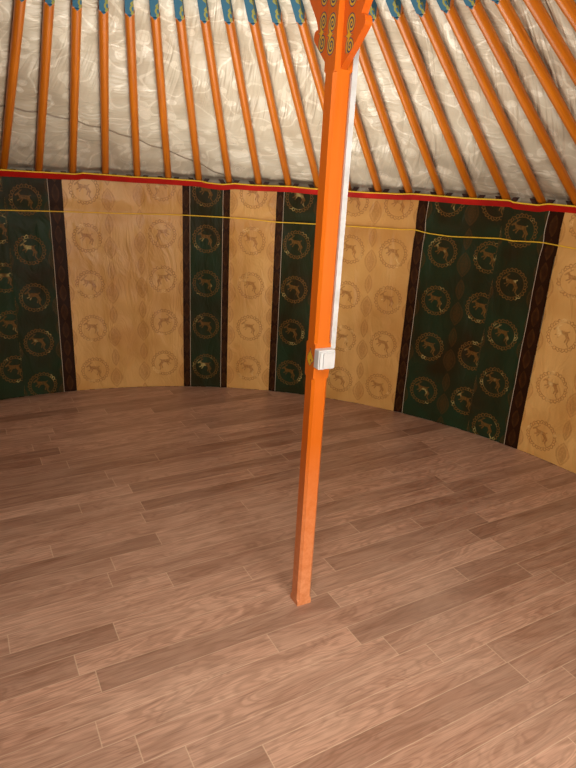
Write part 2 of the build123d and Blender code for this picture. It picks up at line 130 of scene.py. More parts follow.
def chance_of(tree, number):
    """A random value from 0 to 1 that belongs to a whole number."""
    return add_node(tree, "TexWhiteNoise", number, noise_dimensions="1D")


def place_of(tree):
    """Object coordinates and their three parts."""
    place = tree.nodes.new("ShaderNodeTexCoord").outputs["Object"]
    split = tree.nodes.new("ShaderNodeSeparateXYZ")
    tree.links.new(place, split.inputs[0])
    return place, split.outputs[0], split.outputs[1], split.outputs[2]


def join_place(tree, x, y, z):
    """Three numbers as a place."""
    return add_node(tree, "CombineXYZ", x, y, z)


def scaled_place(tree, x, y, z, wide, deep, tall):
    """A place with its three parts stretched, for grain and threads."""
    return join_place(
        tree, times(tree, x, wide), times(tree, y, deep), times(tree, z, tall))


def relief(tree, shader, height, depth):
    """Raises and sinks the surface by a height from 0 to 1, as deep as that in metres."""
    bump = tree.nodes.new("ShaderNodeBump")
    bump.inputs["Distance"].default_value = depth
    tree.links.new(height, bump.inputs["Height"])
    tree.links.new(bump.outputs[0], shader.inputs["Normal"])


def set_colour(tree, shader, colour):
    tree.links.new(colour, shader.inputs["Base Color"])


def set_roughness(tree, shader, value, low, high):
    tree.links.new(stretch(tree, value, 0.0, 1.0, low, high), shader.inputs["Roughness"])


def dress(finish, *nodes):
    """Gives parts of the frame their finish."""
    for node in nodes:
        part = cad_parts[node]
        part.data.materials.clear()
        part.data.materials.append(finish)


vinyl, tree, shader = new_finish("printed_vinyl", 0.42)
place, x, y, z = place_of(tree)
along = plus(tree, times(tree, x, cos(plank_turn)), times(tree, y, sin(plank_turn)))
across = minus(tree, times(tree, y, cos(plank_turn)), times(tree, x, sin(plank_turn)))
row_place = math(tree, "DIVIDE", plus(tree, across, plank_shift), plank_width)
row = math(tree, "FLOOR", row_place)
board_place = plus(
    tree, math(tree, "DIVIDE", along, plank_length), times(tree, chance_of(tree, row), board_stagger))
board = math(tree, "FLOOR", board_place)
board_chance = chance_of(tree, plus(tree, board, times(tree, row, 17.0)))
grain_place = join_place(
    tree, times(tree, along, 2.4), times(tree, across, 13.0),
    times(tree, board_chance, 40.0))
figure = scatter(tree, grain_place, 1.0, 2.0, 0.5, 1.2)
fibre = scatter(tree, scaled_place(tree, along, across, board_chance, 7.0, 210.0, 9.0), 1.0, 3.0, 0.65)
cloud = scatter(
    tree, scaled_place(tree, along, across, board_chance, 3.5, 22.0, 31.0), 1.0, 2.0, 0.6, 0.6)
rings = math(tree, "SINE", times(tree, figure, 55.0))
wood = blend(tree, board_chance, paint(197, 156, 132), paint(144, 107, 87))
wood = blend(tree, stretch(tree, rings, -0.4, 1.0, 0.0, 0.40), wood, paint(116, 81, 58))
wood = blend(tree, stretch(tree, cloud, 0.45, 0.7, 0.0, 0.5), wood, paint(130, 92, 71))
wood = blend(tree, stretch(tree, figure, 0.4, 0.65, 0.0, 0.3), wood, paint(204, 170, 146))
wood = blend(tree, stretch(tree, fibre, 0.45, 0.7, 0.0, 0.6), wood, paint(108, 76, 58))
row_edge = gap(tree, math(tree, "FRACT", row_place), 0.5)
board_edge = gap(tree, math(tree, "FRACT", board_place), 0.5)
row_joint = stretch(tree, row_edge, 0.478, 0.492)
board_joint = stretch(tree, board_edge, 0.4972, 0.4988)
joint = math(tree, "MAXIMUM", row_joint, board_joint)
wood = blend(tree, times(tree, joint, 0.5), wood, paint(212, 184, 156))
wear = scatter(tree, place, 1.3, 2.0, 0.6)
wood = blend(tree, stretch(tree, wear, 0.45, 0.75, 0.0, 0.15), wood, paint(214, 192, 172))
set_colour(tree, shader, wood)
set_roughness(tree, shader, wear, 0.3, 0.48)
relief(tree, shader, minus(tree, times(tree, fibre, 0.3), joint), 0.0004)
dress(vinyl, "floor_sheet")

deck_wood, tree, shader = new_finish("deck_boards", 0.7)
place, x, y, z = place_of(tree)
board_row = math(tree, "FLOOR", math(tree, "DIVIDE", y, 0.14))
streak = scatter(tree, scaled_place(tree, x, y, z, 3.0, 40.0, 40.0), 1.0, 3.0, 0.6, 1.0)
boards = blend(tree, chance_of(tree, board_row), paint(190, 160, 118), paint(165, 132, 92))
boards = blend(tree, stretch(tree, streak, 0.4, 0.7, 0.0, 0.5), boards, paint(128, 96, 62))
set_colour(tree, shader, boards)
relief(tree, shader, streak, 0.001)
dress(deck_wood, "floor_deck")


# Lattice walls
# Flat willow bars, stained dark, laced where they cross. Only their heads show, as
# dark stubs over the red band beside each roof pole.
lattice_wood, tree, shader = new_finish("stained_lattice", 0.6)
place, x, y, z = place_of(tree)
streak = scatter(tree, scaled_place(tree, x, y, z, 40.0, 40.0, 14.0), 1.0, 3.0, 0.6, 0.6)
set_colour(
    tree, shader, blend(tree, stretch(tree, streak, 0.3, 0.7), paint(78, 42, 28), paint(46, 26, 20)))
relief(tree, shader, streak, 0.0008)
dress(lattice_wood, *[f"lattice_wall_{number}" for number in range(1, 6)])


# Door
# A low panelled leaf in a heavy frame, painted with the same orange gloss as the
# posts, hung on two brass hinges and pulled by a bow handle.
def orange_paint(name, colour, shade, scale, gloss=0.4):
    """Brushed gloss paint with faint brush marks and clouding."""
    finish, tree, shader = new_finish(name, gloss, Specular_IOR_Level=0.3)
    place, x, y, z = place_of(tree)
    brush = scatter(tree, scaled_place(tree, x, y, z, scale, scale, 3.0), 1.0, 2.0, 0.6)
    cloud = scatter(tree, place, 3.0, 2.0, 0.6)
    coat = blend(tree, stretch(tree, brush, 0.35, 0.7, 0.0, 0.25), colour, shade)
    coat = blend(tree, stretch(tree, cloud, 0.45, 0.8, 0.0, 0.4), coat, shade)
    return finish, tree, shader, coat, brush, (place, x, y, z)


door_paint, tree, shader, coat, brush, where = orange_paint(
    "door_paint", paint(226, 104, 30), paint(186, 74, 20), 60.0)
low_wear = stretch(tree, where[3], 0.35, 0.02, 0.0, 0.6)
coat = blend(tree, times(tree, low_wear, brush), coat, paint(196, 142, 92))
set_colour(tree, shader, coat)
relief(tree, shader, brush, 0.0006)
dress(door_paint, "door_frame", "door_leaf")

brass, tree, shader = new_finish("worn_brass", 0.35, Metallic=1.0)
place, x, y, z = place_of(tree)
tarnish = scatter(tree, place, 60.0, 3.0, 0.6)
set_colour(
    tree, shader, blend(tree, stretch(tree, tarnish, 0.4, 0.7), paint(205, 170, 98), paint(128, 96, 52)))
set_roughness(tree, shader, tarnish, 0.25, 0.5)
relief(tree, shader, tarnish, 0.0002)
dress(brass, "door_handle", "door_hinges")


# Posts and their wings
# Two square timbers with stopped chamfers carry the crown, painted bright orange, with
# carved boards let in on two sides at the head. Paired scrolls in yellow with a blue
# edge are painted on the sides that face along the room, and a knot beside the switch.
scroll_height = 2.0195
scroll_step = 0.121
scroll_foot = 1.965
spiral_centre = 0.0275
spiral_reach = 0.0162
spiral_growth = 0.0014
coil_pitch = 0.0092
line_half = 0.0025
knot_height = 1.056


def ornament(tree, sideways, up):
    """Two spirals about a small star, in metres: how far a point lies outside their painted lines."""
    mirrored = minus(tree, math(tree, "ABSOLUTE", up), spiral_centre)
    tall = times(tree, mirrored, 0.8)
    reach = length(tree, sideways, tall)
    turned = math(tree, "ARCTAN2", times(tree, sideways, -1.0), tall)
    arm = minus(tree, minus(tree, spiral_reach, times(tree, turned, spiral_growth)), reach)
    coil = math(tree, "MAXIMUM", math(tree, "ROUND", math(tree, "DIVIDE", arm, coil_pitch)), 0.0)
    line = minus(tree, gap(tree, arm, times(tree, coil, coil_pitch)), line_half)
    wide = math(tree, "SQRT", gap(tree, sideways, 0.009))
    star = plus(tree, wide, math(tree, "SQRT", math(tree, "ABSOLUTE", up)))
    star = minus(tree, times(tree, times(tree, star, star), 0.5), 0.0115)
    return math(tree, "MINIMUM", line, star)


def painted_lines(tree, coat, distance, shown):
    """Yellow lines with a blue edge over a coat of paint."""
    edge = times(tree, stretch(tree, distance, 0.0030, 0.0020), shown)
    line = times(tree, stretch(tree, distance, 0.0004, -0.0006), shown)
    coat = blend(tree, edge, coat, paint(52, 62, 92))
    return blend(tree, line, coat, paint(206, 160, 30))


def repeated(tree, z):
    """Height within one repeat of the painted scrolls."""
    step = math(tree, "DIVIDE", minus(tree, z, scroll_height), scroll_step)
    return times(tree, minus(tree, step, math(tree, "ROUND", step)), scroll_step)


def facing_side(tree):
    """1 on faces that look along the room, from either side, and 0 elsewhere."""
    normal = tree.nodes.new("ShaderNodeNewGeometry").outputs["Normal"]
    split = tree.nodes.new("ShaderNodeSeparateXYZ")
    tree.links.new(normal, split.inputs[0])
    return stretch(tree, math(tree, "ABSOLUTE", split.outputs[0]), 0.85, 0.9)


post_paint, tree, shader, coat, brush, where = orange_paint(
    "post_paint", paint(200, 99, 15), paint(185, 86, 10), 90.0)
place, x, y, z = where
chips = scatter(tree, place, 45.0, 4.0, 0.7)
foot_wear = times(tree, stretch(tree, z, 0.75, 0.06), stretch(tree, chips, 0.35, 0.65, 0.4, 0.75))
coat = blend(tree, foot_wear, coat, paint(244, 174, 126))
side = facing_side(tree)
high = stretch(tree, z, scroll_foot, scroll_foot + 0.002)
coat = painted_lines(tree, coat, ornament(tree, y, repeated(tree, z)), times(tree, side, high))
knot_up = minus(tree, z, knot_height)
knot = minus(
    tree,
    plus(tree, math(tree, "ABSOLUTE", times(tree, y, 1.1)), math(tree, "ABSOLUTE", times(tree, knot_up, 0.8))),
    plus(tree, 0.015, times(tree, scatter(tree, place, 60.0, 1.0), 0.020)))
hole_aside = math(tree, "ABSOLUTE", plus(tree, y, 0.004))
hole_up = math(tree, "ABSOLUTE", plus(tree, knot_up, 0.006))
knot = math(tree, "MAXIMUM", knot, minus(tree, 0.005, plus(tree, hole_aside, hole_up)))
coat = painted_lines(tree, coat, knot, side)
set_colour(tree, shader, coat)
relief(tree, shader, brush, 0.0005)
dress(post_paint, "post_east", "post_west")

wing_paint, tree, shader, coat, brush, where = orange_paint(
    "wing_paint", paint(208, 96, 18), paint(188, 80, 12), 90.0)
place, x, y, z = where
off = minus(tree, minus(tree, y, times(tree, math(tree, "SIGN", y), 0.080)), 0.008)
up = repeated(tree, minus(tree, z, plus(tree, times(tree, math(tree, "SIGN", y), 0.015), 0.005)))
shown = times(tree, facing_side(tree), stretch(tree, z, scroll_foot, scroll_foot + 0.002))
coat = painted_lines(tree, coat, ornament(tree, off, up), shown)
set_colour(tree, shader, coat)
relief(tree, shader, brush, 0.0005)
dress(wing_paint, "post_wings_east", "post_wings_west")


# Crown
# A heavy bent rim, morticed for every pole, with arched spokes that carry a hub
# ring, all painted orange.
crown_paint, tree, shader, coat, brush, where = orange_paint(
    "crown_paint", paint(228, 104, 26), paint(190, 76, 18), 50.0)
set_colour(tree, shader, coat)
relief(tree, shader, brush, 0.0006)
dress(crown_paint, "crown_rim", "crown_spokes")


# Roof poles
# Round poles of larch, varnished orange brown, planed square towards the crown,
# where their tips are painted blue with a gold scroll.
pole_count = 81
pole_step = 2 * pi / pole_count
roof_pitch = radians(30.4)
eave_radius = 2.66
eave_height = 1.57
tip_radius = 1.44
vine_length = 0.11


def pole_place(tree):
    """Where a point lies on its pole: along, sideways and above its middle line, and which pole it is."""
    place, x, y, z = place_of(tree)
    azimuth = math(tree, "ARCTAN2", x, y)
    number = math(tree, "ROUND", math(tree, "DIVIDE", azimuth, pole_step))
    radius = length(tree, x, y)
    off = minus(tree, azimuth, times(tree, number, pole_step))
    sideways = times(tree, radius, off)
    axis_height = times(tree, minus(tree, eave_radius, radius), tan(roof_pitch))
    above = minus(tree, minus(tree, z, eave_height), axis_height)
    along = math(tree, "DIVIDE", radius, cos(roof_pitch))
    return along, sideways, times(tree, above, cos(roof_pitch)), number


pole_finish, tree, shader = new_finish("varnished_larch", 0.36, Specular_IOR_Level=0.45)
along, sideways, above, number = pole_place(tree)
chance = chance_of(tree, number)
grain_place = join_place(
    tree, times(tree, along, 3.0),
    plus(tree, times(tree, sideways, 60.0), times(tree, chance, 30.0)),
    times(tree, above, 60.0))
grain = scatter(tree, grain_place, 1.0, 3.0, 0.6, 0.8)
larch = blend(tree, stretch(tree, grain, 0.35, 0.7), paint(188, 106, 15), paint(156, 80, 8))
larch = blend(tree, times(tree, chance, 0.4), larch, paint(172, 92, 12))
tip_length = tip_radius / cos(roof_pitch)
tip = stretch(
    tree, plus(tree, along, times(tree, math(tree, "ABSOLUTE", sideways), 0.9)), tip_length,
    tip_length - 0.004)
turns = times(tree, along, 2 * pi / vine_length)
face = plus(tree, sideways, above)
wave = times(tree, math(tree, "SINE", turns), 0.013)
vine = gap(tree, face, wave)
curl = times(tree, math(tree, "COSINE", times(tree, turns, 2.0)), 0.009)
vine = math(tree, "MINIMUM", vine, math(tree, "ABSOLUTE", plus(tree, face, curl)))
scroll = stretch(tree, vine, 0.0052, 0.0036)
painted = blend(tree, scroll, paint(16, 82, 108), paint(126, 122, 44))
set_colour(tree, shader, blend(tree, tip, larch, painted))
dull = math(tree, "MAXIMUM", stretch(tree, grain, 0.0, 1.0, 0.24, 0.42), times(tree, tip, 0.75))
tree.links.new(dull, shader.inputs["Roughness"])
relief(tree, shader, grain, 0.0008)
dress(pole_finish, *[f"roof_poles_{number}" for number in range(1, 6)])


# Cloths round the wall
# Printed satins hung edge to edge in front of the lattice, in sets that repeat five
# times: wide green, gold, narrow green, gold, middling green and gold. The green ones
# have brown edges. The cloths' figures are roundels with a leaping deer.
set_start = -16.5
set_arc = 71.4
cloth_set = (
    ("brown", 1.4), ("green", 16.1), ("brown", 1.9), ("gold", 16.9),
    ("brown", 1.1), ("green", 4.95), ("brown", 1.05), ("gold", 7.0),
    ("brown", 1.1), ("green", 6.6), ("brown", 1.1), ("gold", 12.2),
)
door_edge = 170.95
cloth_radius = 2.6652
cloth_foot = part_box("floor_sheet")[1].z + 0.002
cloth_head = 1.538
cord_height = 1.325
roundel_wide = 0.300
roundel_tall = 0.318
roundel_size = 0.098
petal_ring = 0.96
bead_ring = 0.87
inner_ring = 0.80
petal_count = 22.0
bead_count = 30.0
fold_head = 1.512
net_wide = 0.011
net_tall = 0.02


def fold_depth(kind, along, height):
    """How far a cloth stands in from the wall: upright folds, pressed flat at the band and the cord."""
    seed = {"gold": 3.1, "green": 11.7, "brown": 23.9}[kind]
    broad = noise.noise(Vector((along * 5.5 + seed, height * 0.5, seed)))
    fine = noise.noise(Vector((along * 15.0 + height * 0.8, height * 0.9 + seed, seed * 2)))
    slant = noise.noise(Vector((along * 8.0 + height * 4.0, height * 5.0 - along * 2.0, seed * 3)))
    free = (1 - exp(-((height - cord_height) / 0.05) ** 2)) * min(1, max(0, (fold_head - height) / 0.10))
    free *= min(1, 0.35 + (height - cloth_foot) / 0.25)
    return 0.0008 + free * (0.0130 * (broad + 0.5) + 0.0060 * (fine + 0.4) + 0.0050 * (slant + 0.4))


def new_piece(name, points, faces, flats=None):
    """A piece from its points and faces, with a flat pattern as UV where it has one."""
    mesh = bpy.data.meshes.new(name)
    mesh.from_pydata(points, [], faces)
    if flats:
        flat_map = mesh.uv_layers.new(name="flat")
        for loop in mesh.loops:
            flat_map.data[loop.index].uv = flats[loop.vertex_index]
    mesh.polygons.foreach_set("use_smooth", [True] * len(mesh.polygons))
    piece = bpy.data.objects.new(name, mesh)
    bpy.context.collection.objects.link(piece)
    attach(piece, "root")
    return piece


def net_faces(rows, columns, closed=False):
    """The faces of a net of points, row after row, closed into a ring where asked."""
    width = columns if closed else columns + 1
    return [
        (row * width + column, (row + 1) * width + column,
         (row + 1) * width + (column + 1) % width, row * width + (column + 1) % width)
        for row in range(rows) for column in range(columns)
    ]


def hang_cloth(name, kind, start, end, pattern_of):
    """One cloth between two azimuths in degrees, as a fine net with its flat pattern as UV."""
    width = radians(end - start) * cloth_radius
    columns = max(2, ceil(width / net_wide))
    rows = ceil((cloth_head - cloth_foot) / net_tall)
    points, flats = [], []
    for row in range(rows + 1):
        height = cloth_foot + (cloth_head - cloth_foot) * row / rows
        for column in range(columns + 1):
            azimuth = radians(start + (end - start) * column / columns)
            radius = cloth_radius - max(0.0, fold_depth(kind, azimuth * cloth_radius, height))
            points.append((radius * sin(azimuth), radius * cos(azimuth), height))
            flats.append(pattern_of(width * column / columns, height))
    return new_piece(name, points, net_faces(rows, columns), flats)


def stroke_group():
    """A node group that marks a rounded stroke between two points of a flat pattern."""
    group = bpy.data.node_groups.new("stroke", "ShaderNodeTree")
    for name, kind in (("Point", "Vector"), ("Start", "Vector"), ("End", "Vector"), ("Width", "Float")):
        group.interface.new_socket(name, in_out="INPUT", socket_type="NodeSocket" + kind)
    group.interface.new_socket("Mark", in_out="OUTPUT", socket_type="NodeSocketFloat")
    entry = group.nodes.new("NodeGroupInput")
    leave = group.nodes.new("NodeGroupOutput")

    def vector(operation, *values):
        made = group.nodes.new("ShaderNodeVectorMath")
        made.operation = operation
        for socket, value in zip([s for s in made.inputs if s.enabled], values):
            group.links.new(value, socket)
        return next(s for s in made.outputs if s.enabled)

    reach = vector("SUBTRACT", entry.outputs["Point"], entry.outputs["Start"])
    line = vector("SUBTRACT", entry.outputs["End"], entry.outputs["Start"])
    share = math(group, "DIVIDE", vector("DOT_PRODUCT", reach, line), vector("DOT_PRODUCT", line, line))
    share = add_node(group, "Clamp", share, 0.0, 1.0)
    made = group.nodes.new("ShaderNodeVectorMath")
    made.operation = "SCALE"
    group.links.new(line, made.inputs[0])
    group.links.new(share, made.inputs["Scale"])
    away = vector("LENGTH", vector("SUBTRACT", reach, made.outputs[0]))
    mark = stretch(group, minus(group, entry.outputs["Width"], away), -0.02, 0.02)
    group.links.new(mark, leave.inputs["Mark"])
    return group


stroke = stroke_group()
deer = (
    ((-0.26, 0.20), (0.16, 0.16), 0.11875), ((0.14, 0.14), (0.34, -0.16), 0.1),
    ((-0.26, 0.20), (-0.42, 0.40), 0.0625), ((-0.44, 0.40), (-0.58, 0.30), 0.0525),
    ((-0.24, 0.10), (-0.46, -0.02), 0.0375), ((-0.16, 0.08), (-0.30, -0.14), 0.035),
    ((0.34, -0.18), (0.30, -0.44), 0.0425), ((0.24, -0.10), (0.16, -0.36), 0.04),
    ((0.30, -0.44), (0.42, -0.60), 0.0325), ((-0.40, 0.46), (-0.20, 0.62), 0.0275),
    ((-0.30, 0.54), (-0.34, 0.68), 0.025), ((0.20, 0.24), (0.34, 0.30), 0.03),
)


def brocade(tree):
    """The woven figures: beaded roundels round a leaping deer, and columns of pointed lobes between."""
    flat = tree.nodes.new("ShaderNodeUVMap")
    flat.uv_map = "flat"
    split = tree.nodes.new("ShaderNodeSeparateXYZ")
    tree.links.new(flat.outputs[0], split.inputs[0])
    across = math(tree, "WRAP", split.outputs[0], roundel_wide / 2, -roundel_wide / 2)
    up = math(tree, "WRAP", split.outputs[1], roundel_tall / 2, -roundel_tall / 2)
    figure_place = join_place(
        tree, math(tree, "DIVIDE", across, roundel_size), math(tree, "DIVIDE", up, roundel_size), 0.0)
    away = add_node(tree, "VectorMath", figure_place, operation="LENGTH")
    angle = math(tree, "ARCTAN2", up, across)
    petals = times(tree, math(tree, "COSINE", times(tree, angle, petal_count)), 0.035)
    outer = gap(tree, minus(tree, away, petal_ring), petals)
    inner = gap(tree, away, inner_ring)
    beads = times(tree, math(tree, "COSINE", times(tree, angle, bead_count)), 0.05)
    from_beads = gap(tree, away, bead_ring)
    ring = math(tree, "MAXIMUM", stretch(tree, outer, 0.040, 0.018), stretch(tree, inner, 0.030, 0.012))
    ring = math(tree, "MAXIMUM", ring, stretch(tree, minus(tree, beads, from_beads), -0.01, 0.012))
    mark = ring
    for start, end, width in deer:
        limb = tree.nodes.new("ShaderNodeGroup")
        limb.node_tree = stroke
        tree.links.new(figure_place, limb.inputs["Point"])
        limb.inputs["Start"].default_value = (*start, 0)
        limb.inputs["End"].default_value = (*end, 0)
        limb.inputs["Width"].default_value = width
        mark = math(tree, "MAXIMUM", mark, limb.outputs["Mark"])
    from_column = gap(tree, math(tree, "ABSOLUTE", across), roundel_wide / 2)
    lens = math(tree, "WRAP", plus(tree, split.outputs[1], 0.064), roundel_tall / 2, -roundel_tall / 2)
    large = minus(tree, 0.044, times(tree, math(tree, "POWER", lens, 2.0), 7.0))
    small = minus(tree, math(tree, "ABSOLUTE", lens), roundel_tall / 2)
    small = minus(tree, 0.028, times(tree, math(tree, "POWER", small, 2.0), 6.0))
    lobe = math(tree, "MAXIMUM", large, small)
    inside = minus(tree, lobe, from_column)
    filled = stretch(tree, inside, -0.001, 0.001)
    hollow = stretch(tree, gap(tree, inside, 0.014), 0.005, 0.002)
    column = times(tree, filled, minus(tree, 0.85, times(tree, hollow, 0.5)))
    return mark, column


def satin(name, ground, shade, figure, painted_glint, lobes, strength, roughness, shine):
    """Printed satin: its ground, the figures' colour, the painted glint of reflected light on them, and how
    strongly they show.
    """
    finish, tree, shader = new_finish(name, roughness, Specular_IOR_Level=shine)
    mark, column = brocade(tree)
    place, x, y, z = place_of(tree)
    cloud = scatter(tree, place, 3.0, 2.0, 0.6)
    broken = stretch(tree, scatter(tree, place, 90.0, 2.0, 0.6), 0.25, 0.6, 0.35, 1.0)
    # Random patches where the figures turn pale cream: a painted highlight standing for light reflected off
    # the metal thread.
    painted_highlight_mask = stretch(tree, scatter(tree, place, 14.0, 1.0, 0.5), 0.60, 0.72)
    cloth = blend(tree, stretch(tree, cloud, 0.35, 0.7), ground, shade)
    cloth = blend(tree, times(tree, times(tree, column, broken), strength * 0.75), cloth, lobes)
    thread_colour = blend(tree, painted_highlight_mask, figure, painted_glint)
    cloth = blend(tree, times(tree, times(tree, mark, broken), strength), cloth, thread_colour)
    set_colour(tree, shader, cloth)
    set_roughness(tree, shader, cloud, roughness - 0.06, roughness + 0.1)
    thread = scatter(tree, place, 700.0, 1.0, 0.5)
    crumple = scatter(tree, scaled_place(tree, x, y, z, 9.0, 9.0, 4.0), 1.0, 3.0, 0.55, 0.8)
    crumple = gap(tree, crumple, 0.5)
    woven = plus(tree, times(tree, mark, 0.6), times(tree, thread, 0.5))
    relief(tree, shader, plus(tree, woven, times(tree, crumple, 26.0)), 0.0005)
    return finish


# Each satin's fourth colour is the painted glint, a painted highlight on its figures.
satins = {
    "green": satin(
        "green_satin", paint(37, 55, 35), paint(44, 36, 18), paint(116, 82, 38), paint(196, 178, 112),
        paint(84, 58, 28), 0.85, 0.4, 0.10),
    "gold": satin(
        "gold_satin", paint(217, 172, 104), paint(197, 146, 77), paint(149, 98, 46), paint(236, 204, 140),
        paint(164, 110, 54), 0.8, 0.36, 0.45),
}

brown_finish, tree, shader = new_finish("brown_satin", 0.45, Specular_IOR_Level=0.10)
place, x, y, z = place_of(tree)
flat = tree.nodes.new("ShaderNodeUVMap")
flat.uv_map = "flat"
split = tree.nodes.new("ShaderNodeSeparateXYZ")
tree.links.new(flat.outputs[0], split.inputs[0])
link = math(tree, "WRAP", split.outputs[1], 0.066, -0.066)
link = minus(tree, 0.024, times(tree, math(tree, "POWER", link, 2.0), 6.2))
link = minus(tree, link, math(tree, "ABSOLUTE", split.outputs[0]))
chain = times(tree, stretch(tree, link, -0.001, 0.001), stretch(tree, link, 0.016, 0.004, 0.35, 1.0))
rubbed = stretch(tree, scatter(tree, place, 30.0, 2.0, 0.6), 0.3, 0.65, 0.2, 0.9)
set_colour(tree, shader, blend(tree, times(tree, chain, rubbed), paint(42, 22, 9), paint(76, 46, 20)))
relief(tree, shader, scatter(tree, place, 700.0, 1.0, 0.5), 0.0004)
satins["brown"] = brown_finish


def pattern_for(kind, width):
    """Where the woven pattern lies on a cloth of that width."""
    level = 1.211
    if kind == "green" and width > 0.5:
        return lambda along, height: (
            (along - 0.137 - 0.300, height - level) if along < 0.48
            else (along - 0.607, height - level - 0.178))
    if kind == "green" and width > 0.25:
        return lambda along, height: (along - 0.108, height - 1.165)
    if kind == "green":
        return lambda along, height: (along - width / 2, height - 0.849)
    if kind == "gold" and width > 0.7:
        return lambda along, height: (
            min(along - 0.137, 0.643 - along, 0.196), height - (1.150 if along < 0.39 else 1.190))
    if kind == "gold" and width > 0.4:
        return lambda along, height: (along - 0.137, height - 1.165)
    return lambda along, height: (along - width / 2, height - 1.170)


cloths = {"green": [], "gold": [], "brown": []}
green_edges = []
for repeat in range(-3, 4):
    azimuth = set_start + repeat * set_arc
    for kind, arc in cloth_set:
        start, end = max(azimuth, -door_edge), min(azimuth + arc, door_edge)
        azimuth += arc
        if end - start > 0.3:
            cloths[kind].append((start, end))

for kind, spans in cloths.items():
    for number, (start, end) in enumerate(spans, 1):
        width = radians(end - start) * cloth_radius
        piece = hang_cloth(f"{kind}_cloth_{number}", kind, start, end, pattern_for(kind, width))
        piece.data.materials.append(satins[kind])
        side = "east" if start + end >= 0 else "west"
        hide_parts("border_strips" if kind == "brown" else f"{kind}_cloths_{side}")
        if kind == "green":
            green_edges += [edge for edge in (start, end) if abs(edge) < door_edge - 0.5]


# White piping on the green cloths
# A thin white cord sewn in where each green cloth meets its brown edge, running from
# under the band to the floor along the folds.
piping_half = 0.0019
piping_white, tree, shader = new_finish("white_piping", 0.6)
place, x, y, z = place_of(tree)
twist = scatter(tree, scaled_place(tree, x, y, z, 90.0, 90.0, 300.0), 1.0, 1.0, 0.5)
set_colour(tree, shader, blend(tree, twist, paint(204, 192, 172), paint(160, 144, 122)))
relief(tree, shader, twist, 0.0003)

for number, edge in enumerate(green_edges, 1):
    rows = ceil((cloth_head - cloth_foot) / net_tall)
    points = []
    for row in range(rows + 1):
        height = cloth_foot + (cloth_head - cloth_foot) * row / rows
        azimuth = radians(edge)
        radius = cloth_radius - max(
            fold_depth("green", azimuth * cloth_radius, height),
            fold_depth("brown", azimuth * cloth_radius, height))
        for corner in range(5):
            turn = pi * corner / 4
            inward = radius - piping_half * sin(turn)
            sideways = piping_half * cos(turn)
            points.append((
                inward * sin(azimuth) + sideways * cos(azimuth),
                inward * cos(azimuth) - sideways * sin(azimuth), height))
    piece = new_piece(f"white_piping_{number}", points, net_faces(rows, 4))
    piece.data.materials.append(piping_white)
    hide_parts("border_strips")


# Red band and its yellow piping
# A strap of red cotton edged with yellow, drawn round over the heads of the cloths in
# lengths that dip between their ties, and a thin yellow cord tied below it.
band_foot = 1.515
band_top = 1.550
piping_top = 1.5575
band_radius = 2.6606
band_lean = 0.0245
piping_radius = 2.6355
piping_depth = 0.0035
round_wall = 2.66
dip_clearance = 1.75
band_dips = (
    (-8, 11), (-4.9, 13), (4.8, 8), (5.8, 17), (12.7, 8), (16.3, 8), (19.8, 5), (22.4, 3), (23.6, -6),
    (25.8, -12), (27.6, -1), (30.5, -5), (36.1, 0), (39.4, -6), (47.0, -9), (52.1, -5), (54.2, 2),
    (61.5, -3), (67.5, 2), (67.8, -7), (71.1, -13), (72.3, -2), (76.0, -4), (80, -6),
)


def between(stations, value):
    """A value read from stations on straight lines between them."""
    for (low, first), (high, last) in zip(stations, stations[1:]):
        if value <= high:
            return first + (last - first) * max(0, value - low) / (high - low)
    return stations[-1][1]


def band_dip(azimuth):
    """How far the band hangs off its level in metres, as seen where it shows and at random elsewhere."""
    if -8 <= azimuth <= 80:
        return between(band_dips, azimuth) / 1000
    tie = azimuth / 9
    return 0.012 * (noise.noise(Vector((tie, 3.3, 0))) - 0.45) - 0.003


red_cotton, tree, shader = new_finish("red_cotton", 0.65, Specular_IOR_Level=0.15)
place, x, y, z = place_of(tree)
dye = scatter(tree, place, 6.0, 2.0, 0.6)
rib = scatter(tree, scaled_place(tree, x, y, z, 30.0, 30.0, 900.0), 1.0, 1.0, 0.5)
red = blend(tree, stretch(tree, dye, 0.35, 0.7), paint(186, 24, 8), paint(150, 14, 4))
set_colour(tree, shader, blend(tree, times(tree, rib, 0.2), red, paint(140, 14, 6)))
relief(tree, shader, rib, 0.0004)

yellow_cotton, tree, shader = new_finish("yellow_cotton", 0.5, Specular_IOR_Level=0.2)
place, x, y, z = place_of(tree)
twist = scatter(tree, scaled_place(tree, x, y, z, 160.0, 160.0, 260.0), 1.0, 2.0, 0.5)
set_colour(tree, shader, blend(tree, twist, paint(248, 212, 70), paint(228, 184, 44)))
relief(tree, shader, twist, 0.0005)


def strap(name, start, end, stations, deeper):
    """A strap round the wall between two azimuths, from stations of radius and height across it."""
    columns = ceil(radians(end - start) * round_wall / 0.014)
    points = []
    for radius, height in stations:
        for column in range(columns + 1):
            azimuth = start + (end - start) * column / columns
            ripple = 0.0012 * noise.noise(Vector((azimuth * 0.9, height * 18, 7)))
            turned = radians(azimuth)
            dip = band_dip(azimuth)
            reach = radius - deeper - max(0, ripple) - dip_clearance * max(0, dip)
            points.append((reach * sin(turned), reach * cos(turned), height + dip))
    return new_piece(name, points, net_faces(len(stations) - 1, columns))


band_joins = (-door_edge, -96.2, -21.5, 67.6, 118.4, door_edge)
for number, (start, end) in enumerate(zip(band_joins, band_joins[1:]), 1):
    over = 0.0006 * (number % 2)
    stations = [
        (band_radius - band_lean * share, band_foot + (band_top - band_foot) * share)
        for share in (0, .2, .4, .6, .8, 1)
    ]
    piece = strap(f"band_{number}", start, end, stations, over)
    piece.data.materials.append(red_cotton)
    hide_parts("wall_band")
    rolled = [
        (piping_radius - piping_depth * sin(pi * turn / 6),
         band_top - 0.001 + (piping_top - band_top + 0.001) * (1 - cos(pi * turn / 6)) / 2)
        for turn in range(7)
    ]
    piece = strap(f"band_piping_{number}", start, end, rolled, over)
    piece.data.materials.append(yellow_cotton)
    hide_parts("band_piping")

